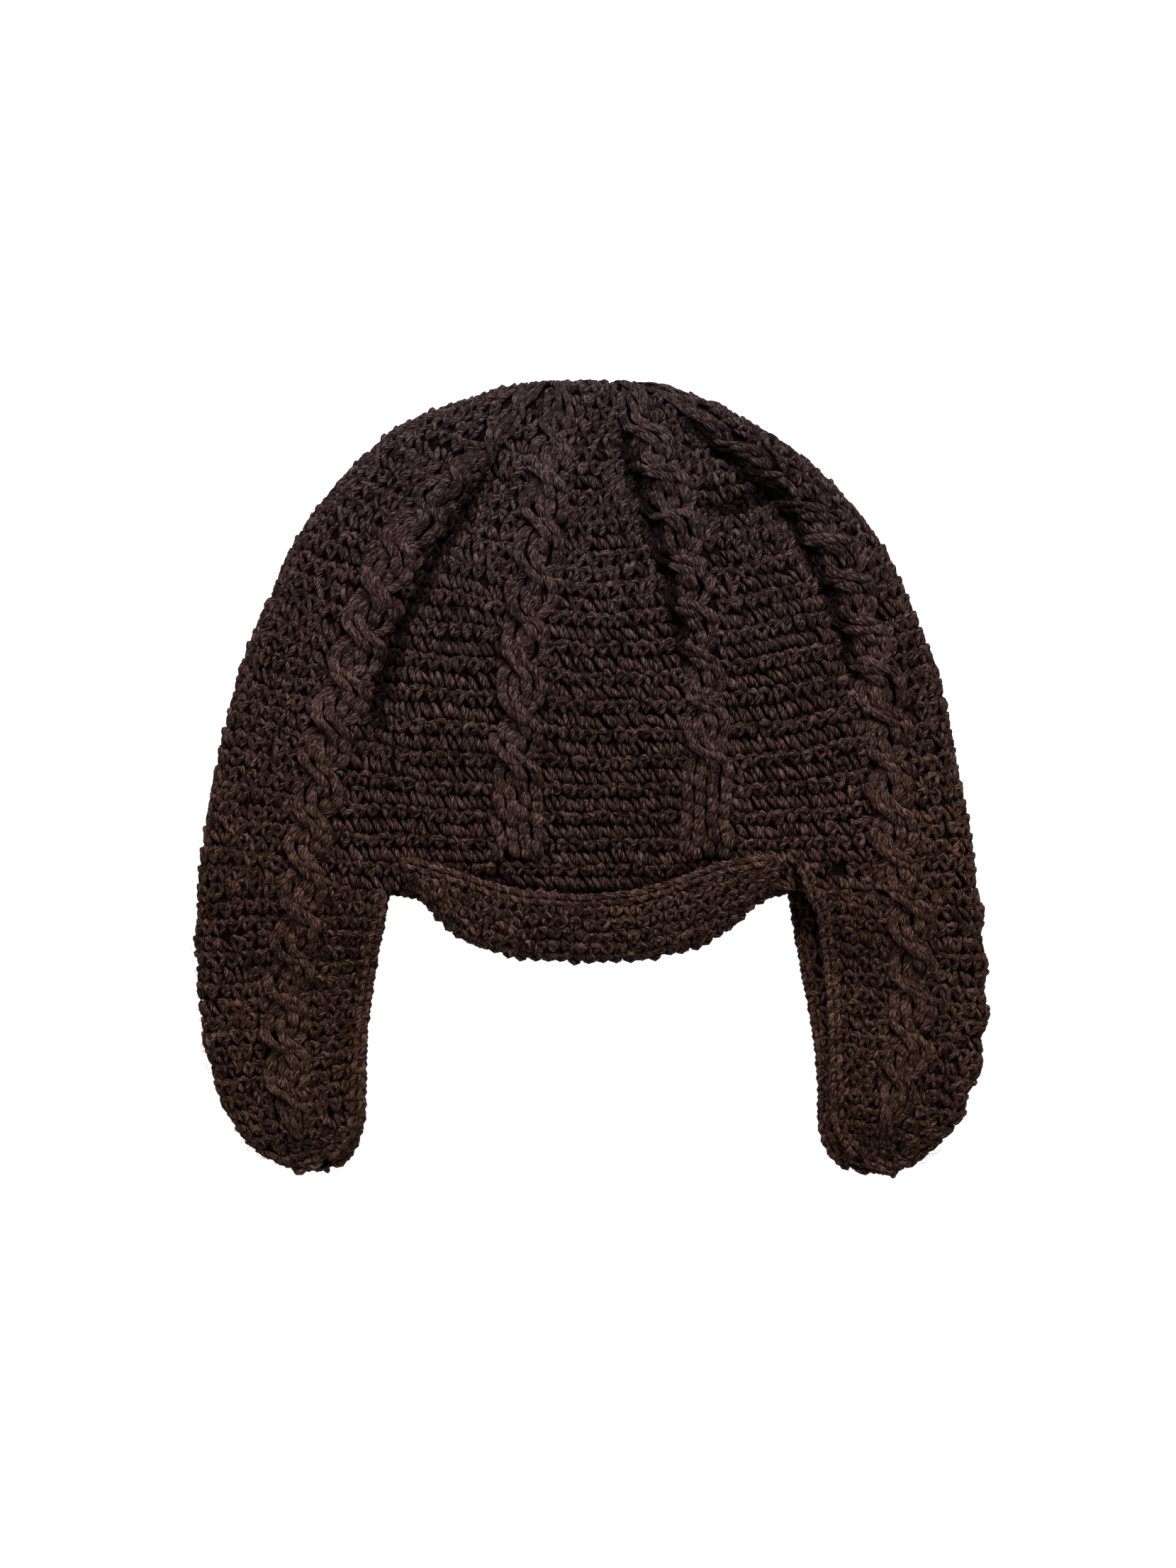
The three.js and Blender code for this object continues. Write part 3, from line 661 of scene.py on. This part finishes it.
# the visor's closed sections, one row of (y, z) points for each x: its overside and underside are
# shares of the way down, shares of the swell or depth, and a last small step
def visorSections(x):
    m = visorShape
    upper, lower = along(*zip(*m["upper"]), x), along(*zip(*m["lower"]), x)
    face = rimFace(x)
    root = fabricShape["rimY"] - m["seamGap"]
    swell, depth = m["swell"], m["depth"]
    full = fullness(x)
    section = [(root + 0 * x, face - below) for below in m["rootDepths"]]
    section.append((np.maximum(upper, root) + 0.01, face + 2 * m["seamGap"]))
    for down, share, raised in m["overside"]:
        section.append((between(upper, lower, down), face + share * swell * full + raised))
    section.append((lower, face - m["lowerEdge"] * depth * full))
    for down, share, apart in m["underside"]:
        y = np.minimum(between(upper, lower, down), root - apart)
        section.append((y, face - share * depth * full))
    return np.array([np.stack(pair, -1) for pair in section]).transpose(1, 0, 2)


# the stitched side of the visor: u is x, and v is millimetres down from the turn of the lower edge
def visorTable():
    m = visorShape
    xs, vs = np.linspace(*m["tableX"]), np.linspace(*m["tableV"])
    table = np.zeros((len(xs), len(vs), 3))
    for i, section in enumerate(visorSections(xs)):
        face = evenCurve(section[2:], 200)
        far = distancesAlong(face)
        distances = vs + far[np.argmin(face[:, 0])]
        table[i, :, 0] = xs[i]
        table[i, :, 1:] = placesAt(distances, far, face)
        table[i, :, 2] -= np.maximum(-distances, 0) * m["sinks"]
    return xs, vs, table


# the padding under the visor's stitches, a closed body set in from its sections
def makeVisorPadding():
    m = visorShape
    x = np.linspace(*m["ends"], m["rings"])
    rings = []
    for place, section in zip(x, visorSections(x)):
        ring = evenCurve(np.vstack([section, section[:1]]), m["around"] + 1)[:-1]
        rings.append(np.column_stack([np.full(m["around"], place), ring]))
    rings = np.array(rings)
    rings = rings + unit(rings.mean(axis=1, keepdims=True) - rings) * m["inset"]
    i = np.arange(m["rings"] * m["around"]).reshape(m["rings"], m["around"])
    following = np.roll(i, -1, 1)
    quads = np.stack([i[:-1], following[:-1], following[1:], i[1:]], -1).reshape(-1, 4)
    uv = np.zeros((quads.size + 2 * m["around"], 2))
    faces = [quads, i[:1, ::-1], i[-1:]]
    return makePiece("visor_padding", rings.reshape(-1, 3), faces, uv, np.zeros(i.size))


def makeVisor():
    m = visorShape
    xs, vs, table = visorTable()

    def place(u, v):
        i = np.clip((u - xs[0]) / (xs[1] - xs[0]), 0, len(xs) - 1.001)
        j = np.clip((v - vs[0]) / (vs[1] - vs[0]), 0, len(vs) - 1.001)
        a, b = i.astype(int), j.astype(int)
        s, t = (i - a)[..., None], (j - b)[..., None]
        top = table[a, b] * (1 - t) + table[a, b + 1] * t
        return top * (1 - s) + (table[a + 1, b] * (1 - t) + table[a + 1, b + 1] * t) * s

    surface = Surface(place, turn=1, stepU=1.0, stepV=1.0, skin=m["skin"])
    pile = YarnPile()
    rowStep = m["rowHeight"]
    for k in range(-m["rowsUp"], m["rowsUnder"]):
        v = k * rowStep + rowStep * m["rowShift"]
        u = rowOfStitches(surface, v, *m["ends"], 0.5)
        upperEdge = along(*zip(*m["upper"]), u)
        points = place(u, np.full_like(u, v))
        kept = (points[:, 1] < upperEdge + m["overEdge"]) | (k >= 0)
        if not kept.any():
            continue
        lift = between(m["edgeLift"], 1.0, smoothStep(abs(v - m["edgeAt"]) / m["edgeOver"]))
        count = kept.sum()
        layStitches(pile, surface, u[kept], np.full(count, v), rowStep, "bump", np.full(count, lift),
                    stitchShape["sidesSeen"], seeds["visor"] + k)
    stitches = pile.build("visor_stitches")
    first, last = m["ends"]
    x = np.linspace(first + 1, last - 1, 120)
    y = along(*zip(*m["upper"]), x) - m["chainBelow"]
    z = rimFace(x) + m["chainSwell"] * m["swell"] * fullness(x) + m["chainRaised"]
    edge, _ = makeEdging("visor_edge", np.stack([x, y, z], -1))
    return [(stitches, ["visor"]), (edge, ["visor"]), (makeVisorPadding(), ["visor"])]


edgingShape = {
    "radius": 1.1, "link": 4.8, "half": 2.0, "wrap": 0.9, "thick": 1.12, "beyond": 0.3, "raised": 1.0,
    "perLink": 8, "sides": 6, "strayTurn": 4, "strayPlace": 0.05, "tones": (-0.2, 1.0),
    "core": 1.2, "corePaintedShade": -2.0, "coreStep": 6,
    "rows": (1.001, 1.97), "start": [(69, -25), (72.5, -28.5), (75.2, -33), (76.8, -37)],
    "startRows": (0.86, 1.0, 60), "startAngles": (30, 60, 120), "startRaised": 2.2, "startLeavesOut": 3,
    "rimHalf": 62, "rimBelow": 2.2, "tipInset": 1.2, "tipRows": (1.98, 2.0),
}
linkStrand = [(0.02, -0.55, -0.5, 0.75), (0.34, -0.30, 0.5, 1.0), (0.50, 0.05, 0.9, 1.1),
              (0.34, 0.40, 0.8, 1.0), (0.10, 0.62, 0.2, 0.75)]


# chain stitches along a line of places, V after V, on its upper and its under side
def makeEdging(name, places):
    e = edgingShape
    link = e["link"]
    far = distancesAlong(places)
    line = placesAt(np.arange(0, far[-1], link / e["perLink"]), far, places)
    ahead = unit(np.gradient(line, axis=0))
    flat = unit(np.stack([-ahead[:, 1], ahead[:, 0], 0 * ahead[:, 0]], -1))
    up = np.cross(ahead, flat)
    far = distancesAlong(line)

    def place(u, v):
        turn = np.radians(u)[..., None]
        ring = np.cos(turn) * placesAt(v, far, up) + np.sin(turn) * placesAt(v, far, flat)
        return placesAt(v, far, line) + e["radius"] * unit(ring)

    surface = Surface(place, turn=1, stepU=2.0, stepV=0.4)
    right, down, height, radius = np.array(linkStrand).T
    pile = YarnPile()
    rng = np.random.default_rng(len(name))
    for over in (0, 180):
        v = np.arange(link / 2, far[-1] - link / 2, link) + over / 180 * link / 2
        for mirror in (1, -1):
            turned = np.degrees(mirror * right * e["half"] / e["radius"]) * e["wrap"]
            ringU = over + turned[None, :] + rng.normal(0, e["strayTurn"], (len(v), 1))
            ringV = v[:, None] + (down + rng.normal(0, e["strayPlace"], (len(v), 1))) * link
            rings, way = surface.raised(ringU, ringV, np.broadcast_to(height, ringU.shape))
            radii = np.broadcast_to(radius * e["thick"], ringU.shape)
            pile.add(rings, radii, way, e["sides"], rng.uniform(*e["tones"], len(v)))
    # painted shade: a darker core runs along inside the chain, seen between its links
    core, coreUp = line[None, ::e["coreStep"]], up[None, ::e["coreStep"]]
    radii = np.full(core.shape[:2], e["core"])
    pile.add(core, radii, coreUp, e["sides"], np.array([e["corePaintedShade"]]))
    return pile.build(name + "_chain"), [name]


# a line just beyond a flap's free edge, from the rim down
def besideFlap(edgeAngle, turn):
    rows = np.linspace(*edgingShape["rows"], 60)
    angle = np.full_like(rows, edgeAngle)
    return fabric(angle + turn * edgingShape["beyond"] / degreeLengthAt(angle - turn, rows), rows)


# the right front chain starts up on the rim, beside the visor's end, on the front's nearest places
def chainStart():
    e = edgingShape
    rows, angles = np.linspace(*e["startRows"]), np.linspace(*e["startAngles"])
    front = fabric(*np.meshgrid(angles, rows)).reshape(-1, 3)
    nearest = [np.argmin(np.hypot(front[:, 0] - x, front[:, 1] - y)) for x, y in e["start"]]
    return front[nearest] + [0, 0, e["startRaised"]]


def makeEdgings():
    e = edgingShape
    edge = fabricShape["flapEdge"]
    raised = np.array([0, 0, e["raised"]])
    right = np.vstack([chainStart(), besideFlap(edge, 1)[e["startLeavesOut"]:] + raised])
    pieces = [makeEdging("edging_front_right", right),
              makeEdging("edging_front_left", besideFlap(180 - edge, -1) + raised)]
    x = np.linspace(-e["rimHalf"], e["rimHalf"], 40)
    y = np.full_like(x, fabricShape["rimY"] - e["rimBelow"])
    rim = np.stack([x, y, np.full_like(x, fabricShape["backHeight"])], -1)
    rear = np.vstack([besideFlap(180 + edge, 1)[::-1], rim, besideFlap(-edge, -1)])
    pieces.append(makeEdging("edging_rear", rear))
    for name, middle in flapMiddles.items():
        angle = np.linspace(middle - edge, middle + edge, 60)
        before, end = [fabric(angle, np.full_like(angle, row)) for row in e["tipRows"]]
        tip, _ = makeEdging(f"ear_flap_{name}_tip", end - unit(end - before) * e["tipInset"])
        pieces.append((tip, [f"ear_flap_{name}"]))
    return pieces


def deselectFaces():
    bpy.ops.object.mode_set(mode="EDIT")
    bpy.ops.mesh.select_mode(type="FACE")
    bpy.ops.mesh.select_all(action="DESELECT")
    bpy.ops.object.mode_set(mode="OBJECT")


def applyModifier(piece, kind, **settings):
    modifier = piece.modifiers.new(kind.title(), kind)
    for key, value in settings.items():
        setattr(modifier, key, value)
    bpy.ops.object.modifier_apply(modifier=modifier.name)


wallShape = {
    "out": -0.9, "thick": 1.1, "lowest": 0.6, "segments": 128, "rings": 128, "across": 40, "down": 50,
}


# moves a mesh's points to the fabric, from an angle and a row for each
def lieOnFabric(piece, angle, row):
    places, _ = fabricSurface.raised(angle, row, np.full_like(angle, wallShape["out"]))
    places[:, 2] = np.maximum(places[:, 2], wallShape["lowest"])
    piece.data.vertices.foreach_set("co", inMetres(places))
    piece.data.update()


# the close fabric that stitches stand on, seen between them and from the inside, painted near black
# as painted shade in the holes
def makeWalls():
    w = wallShape
    bpy.ops.object.select_all(action="DESELECT")
    bpy.ops.mesh.primitive_uv_sphere_add(segments=w["segments"], ring_count=w["rings"], radius=1)
    crown = bpy.context.object
    crown.name = crown.data.name = "crown_wall"
    deselectFaces()
    for face in crown.data.polygons:
        face.select = face.center.z < 0
    bpy.ops.object.mode_set(mode="EDIT")
    bpy.ops.mesh.delete(type="FACE")
    bpy.ops.mesh.select_all(action="SELECT")
    bpy.ops.mesh.flip_normals()
    bpy.ops.object.mode_set(mode="OBJECT")
    x, y, z = np.array([v.co for v in crown.data.vertices]).T
    row = np.clip(np.arccos(np.clip(z, -1, 1)) / (math.pi / 2), fabricShape["firstRow"], 1)
    lieOnFabric(crown, np.degrees(np.arctan2(y, x)), row)
    walls = [(crown, ["crown"])]
    for name, middle in flapMiddles.items():
        bpy.ops.object.select_all(action="DESELECT")
        bpy.ops.mesh.primitive_grid_add(x_subdivisions=w["across"], y_subdivisions=w["down"], size=2)
        flap = bpy.context.object
        flap.name = flap.data.name = f"ear_flap_{name}_wall"
        x, y, z = np.array([v.co for v in flap.data.vertices]).T
        lieOnFabric(flap, middle - x * fabricShape["flapEdge"], 1.5 - y / 2)
        walls.append((flap, [f"ear_flap_{name}"]))
    for wall, _ in walls:
        bpy.ops.object.select_all(action="DESELECT")
        wall.select_set(True)
        bpy.context.view_layer.objects.active = wall
        applyModifier(wall, "SOLIDIFY", thickness=w["thick"] / 1000, offset=-1, use_even_offset=False)
        bpy.ops.object.shade_smooth()
        print("made", wall.name, "faces", len(wall.data.polygons))
    return walls


# maths on shader sockets, written as expressions
class Socket:
    def __init__(self, nodes, output):
        self.nodes, self.output = nodes, output

    def maths(self, operation, other=0.0):
        return self.nodes.add("ShaderNodeMath", {"operation": operation}, {0: self, 1: other})

    def __add__(self, other):
        return self.maths("ADD", other)

    def __sub__(self, other):
        return self.maths("SUBTRACT", other)

    def __rsub__(self, other):
        return self.nodes.add("ShaderNodeMath", {"operation": "SUBTRACT"}, {0: other, 1: self})

    def __mul__(self, other):
        return self.maths("MULTIPLY", other)

    __radd__, __rmul__ = __add__, __mul__


class Finish:
    def __init__(self, name):
        self.material = bpy.data.materials.new(name)
        self.material.use_nodes = True
        self.tree = self.material.node_tree
        self.tree.nodes.clear()

    def add(self, kind, settings=None, inputs=None, output=0):
        node = self.tree.nodes.new(kind)
        for key, value in (settings or {}).items():
            if key == "stops":
                ramp = node.color_ramp
                for i, (place, colour) in enumerate(value):
                    stop = ramp.elements[i] if i < 2 else ramp.elements.new(place)
                    stop.position = place
                    stop.color = (*colour, 1)
            else:
                setattr(node, key, value)
        for key, value in (inputs or {}).items():
            socket = node.inputs[key]
            if isinstance(value, Socket):
                self.tree.links.new(value.output, socket)
            else:
                socket.default_value = value
        return Socket(self, node.outputs[output]) if len(node.outputs) else None

    def tint(self, colour, by):
        return self.add("ShaderNodeMix", {"data_type": "RGBA", "blend_type": "MULTIPLY"},
                        {0: 1.0, 6: colour, 7: (*by, 1)}, 2)

    def shade(self, colour, roughness, bump=None, distance=None, **fixed):
        inputs = {"Base Color": colour, "Roughness": roughness}
        if bump is not None:
            inputs["Normal"] = self.add("ShaderNodeBump", None, {"Height": bump, "Distance": distance})
        inputs.update({key.replace("_", " "): value for key, value in fixed.items()})
        shader = self.add("ShaderNodeBsdfPrincipled", None, inputs)
        self.add("ShaderNodeOutputMaterial", None, {"Surface": shader})
        return self.material


yarnLook = {
    "stops": [(0.12, (0.0035, 0.0015, 0.0012)), (0.36, (0.016, 0.0078, 0.0062)),
              (0.60, (0.037, 0.0192, 0.0156)), (0.95, (0.135, 0.081, 0.068))],
    "roughness": 0.9, "specular": 0.06, "bump": 0.0006,
    "fibres": 1.9, "slant": 1.0, "stretch": 0.3, "detail": 2.5, "rough": 0.6, "contrast": 3.0,
    "middleLevel": 0.445, "toneLevel": 0.07, "toneShift": 37,
    "wisps": (150, 230), "wispDetail": 1.5, "wispWarp": 0.6, "wispFine": 60, "wispLight": 0.30,
    "paintedCoolLight": (0.90, 0.95, 1.20), "paintedWarmLight": (1.10, 0.965, 0.83),
    "warmAtMiddle": 0.59, "warmDown": 5.4, "warmOut": 16.0,
}


# twisted fibres run along each yarn, thin light wisps lie across all of them, and painted light tints
# the whole cap a little cooler towards the crown and warmer towards the sides and the flaps' ends
def makeYarn(name, brightness=1.0):
    f = Finish(name)
    y = yarnLook
    split = "ShaderNodeSeparateXYZ"
    uv = f.add("ShaderNodeUVMap", {"uv_map": "UVMap"})
    u, v = f.add(split, None, {0: uv}, 0), f.add(split, None, {0: uv}, 1)
    tone = f.add("ShaderNodeAttribute", {"attribute_name": "tone"}, None, 2)
    turn = v * (2 * math.pi) + u * y["slant"]
    cosine, sine = turn.maths("COSINE") * y["fibres"], turn.maths("SINE") * y["fibres"]
    spot = f.add("ShaderNodeCombineXYZ", None,
                 {0: u * y["stretch"] + tone * y["toneShift"], 1: cosine, 2: sine})
    fibres = f.add("ShaderNodeTexNoise", {"noise_dimensions": "3D"},
                   {"Vector": spot, "Scale": 1.0, "Detail": y["detail"], "Roughness": y["rough"]})
    level = (fibres - 0.5) * y["contrast"] + y["middleLevel"] + tone * y["toneLevel"]
    place = f.add("ShaderNodeTexCoord", None, None, 3)
    for scale in y["wisps"]:
        waves = f.add("ShaderNodeTexNoise", {"noise_dimensions": "3D"},
                      {"Vector": place, "Scale": scale, "Detail": y["wispDetail"],
                       "Distortion": y["wispWarp"]})
        away = (waves - 0.5).maths("ABSOLUTE")
        level = level + (1 - away * y["wispFine"]).maths("MAXIMUM", 0.0) * y["wispLight"]
    colour = f.add("ShaderNodeValToRGB", {"stops": y["stops"]}, {0: level})
    x, height = f.add(split, None, {0: place}, 0), f.add(split, None, {0: place}, 1)
    # painted light: the tint goes from cool at the crown to warm at the sides and the flaps' ends
    paintedLightWarmth = x * x * y["warmOut"] - height * y["warmDown"] + y["warmAtMiddle"]
    cool, warm = f.tint(colour, y["paintedCoolLight"]), f.tint(colour, y["paintedWarmLight"])
    colour = f.add("ShaderNodeMix", {"data_type": "RGBA"}, {0: paintedLightWarmth, 6: cool, 7: warm}, 2)
    if brightness != 1.0:
        colour = f.tint(colour, (brightness, brightness, brightness))
    return f.shade(colour, y["roughness"], fibres, y["bump"], Specular_IOR_Level=y["specular"])


# painted shade: the close fabric under the stitches is nearly black, as the shade seen through holes
closeShadeLook = {
    "stops": [(0.3, (0.0015, 0.0008, 0.0007)), (0.75, (0.007, 0.004, 0.0034))],
    "grain": 900.0, "lumps": 260.0, "roughness": 0.95, "specular": 0.03, "bump": 0.0008,
}


def makeWallShadeFinish():
    f = Finish("close_fabric_painted_shade")
    c = closeShadeLook
    place = f.add("ShaderNodeTexCoord", None, None, 3)
    grain = f.add("ShaderNodeTexNoise", None, {"Vector": place, "Scale": c["grain"], "Detail": 4.0})
    lumps = f.add("ShaderNodeTexVoronoi", None, {"Vector": place, "Scale": c["lumps"]})
    colour = f.add("ShaderNodeValToRGB", {"stops": c["stops"]}, {0: grain * 0.6 + lumps * 0.4})
    return f.shade(colour, c["roughness"], lumps * 0.7 + grain * 0.4, c["bump"],
                   Specular_IOR_Level=c["specular"])


floorLook = {
    "stops": [(0.0, (0.28, 0.28, 0.28)), (1.0, (0.32, 0.32, 0.32))], "grain": 60.0,
    "roughness": 0.7, "glow": 0.95, "size": 6,
}


def makeFloorFinish():
    f = Finish("pale_floor")
    look = floorLook
    place = f.add("ShaderNodeTexCoord", None, None, 3)
    grain = f.add("ShaderNodeTexNoise", None, {"Vector": place, "Scale": look["grain"], "Detail": 3.0})
    colour = f.add("ShaderNodeValToRGB", {"stops": look["stops"]}, {0: grain})
    return f.shade(colour, look["roughness"], Emission_Color=(1, 1, 1, 1),
                   Emission_Strength=look["glow"])


fibreShape = {
    "count": 4200, "radius": 0.06, "thin": [1, 1, 0.85, 0.5], "sides": 3, "short": 3.0, "long": 11.0,
    "shorten": (0.3, 1), "curl": 1.3, "facing": 0.55, "facingOver": 1.6,
    "start": 1.4, "height": 1.9, "lowered": (0.2, 1), "archStart": 0.3, "arch": 0.8,
    "places": [                      # share of the fibres, rows, angles, and how they crowd in the rows
        (0.62, (0.08, 0.98), (4, 176), 0.7), (0.19, (1.02, 1.94), (-6, 42), 1),
        (0.19, (1.02, 1.94), (138, 186), 1),
    ],
}


# fine loose fibres that stand off the yarn, where the fabric faces up
def makeFibres():
    b = fibreShape
    rng = np.random.default_rng(seeds["fibres"])
    pile = YarnPile()
    thin = np.array(b["thin"])
    t = np.linspace(0, 1, len(thin))
    for share, rows, spread, crowding in b["places"]:
        count = int(b["count"] * share)
        row = rng.uniform(*rows, count) ** crowding
        angle = rng.uniform(*spread, count)
        length = rng.uniform(b["short"], b["long"], count) * rng.uniform(*b["shorten"], count)
        heading = rng.uniform(0, 2 * math.pi, count)
        curl = rng.normal(0, b["curl"], count)
        bend = heading[:, None] + curl[:, None] * t
        right = np.cumsum(np.cos(bend), axis=1) / len(t) * length[:, None]
        down = np.cumsum(np.sin(bend), axis=1) / len(t) * length[:, None]
        _, facing, uLength, vLength = fabricSurface.frameAt(angle, row)
        u = angle[:, None] - right / uLength[:, None]
        v = row[:, None] + down / vLength[:, None]
        seen = facing[:, 2] > b["facing"]
        u, v, upward = u[seen], v[seen], np.minimum(facing[seen, 2] * b["facingOver"], 1)
        top = (rng.uniform(*b["lowered"], len(u)) * upward)[:, None] * b["height"]
        out = b["start"] + top * np.sin(t * math.pi * b["arch"] + b["archStart"])
        places, way = fabricSurface.raised(u, v, out)
        radii = np.broadcast_to(b["radius"] * thin, u.shape)
        pile.add(places, radii, way, b["sides"], rng.uniform(-1, 1, len(u)))
    return pile.build("loose_fibres")


pieces = makeFabricStitches()
for cableName in cableRuns:
    pieces.append(makeCable(cableName))
pieces += makeVisor() + makeEdgings() + makeWalls()
print("made all the pieces")

yarn = makeYarn("brown_wool")
# the walls and the visor's padding take the near-black close fabric, painted shade between stitches
closeFabricShade = makeWallShadeFinish()
for piece, nodes in pieces:
    isUnderneath = piece.name.endswith(("_wall", "_padding"))
    piece.data.materials.clear()
    piece.data.materials.append(closeFabricShade if isUnderneath else yarn)
    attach(piece, "root")
    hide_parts(*nodes)

fibres = makeFibres()
# painted highlight: the loose fibres take a copy of the yarn made 2.2 times lighter
fibres.data.materials.append(makeYarn("loose_fibre", 2.2))
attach(fibres, "root")

bpy.ops.object.select_all(action="DESELECT")
bpy.ops.mesh.primitive_plane_add(size=floorLook["size"], location=(0, 0, 0))
floor = bpy.context.object
floor.name = "floor"
floor.data.materials.append(makeFloorFinish())

# straight above the cap, looking down
view = {"at": (-0.001065, -0.002695, 1.3205), "lens": 85, "sensor": 36, "from": 0.05, "to": 20}
camera = bpy.data.objects.new("camera", bpy.data.cameras.new("camera"))
camera.data.lens, camera.data.sensor_width = view["lens"], view["sensor"]
camera.data.clip_start, camera.data.clip_end = view["from"], view["to"]
camera.location = view["at"]
bpy.context.scene.collection.objects.link(camera)
bpy.context.scene.camera = camera

studio = {"keyPlace": (0.1, 0.95, 1.0), "keySize": 0.7, "keyPower": 26, "ambient": 0.45}


def makeStudio():
    s = studio
    light = bpy.data.lights.new("key", "AREA")
    light.energy, light.size = s["keyPower"], s["keySize"]
    key = bpy.data.objects.new("key", light)
    key.location = s["keyPlace"]
    bpy.context.scene.collection.objects.link(key)
    key.rotation_euler = (-Vector(s["keyPlace"])).to_track_quat("-Z", "Y").to_euler()
    world = bpy.data.worlds.new("studio")
    world.use_nodes = True
    background = world.node_tree.nodes["Background"]
    background.inputs["Color"].default_value = (1, 1, 1, 1)
    background.inputs["Strength"].default_value = s["ambient"]
    bpy.context.scene.world = world
    bpy.context.scene.view_settings.view_transform = "Standard"


makeStudio()
print("made the studio")
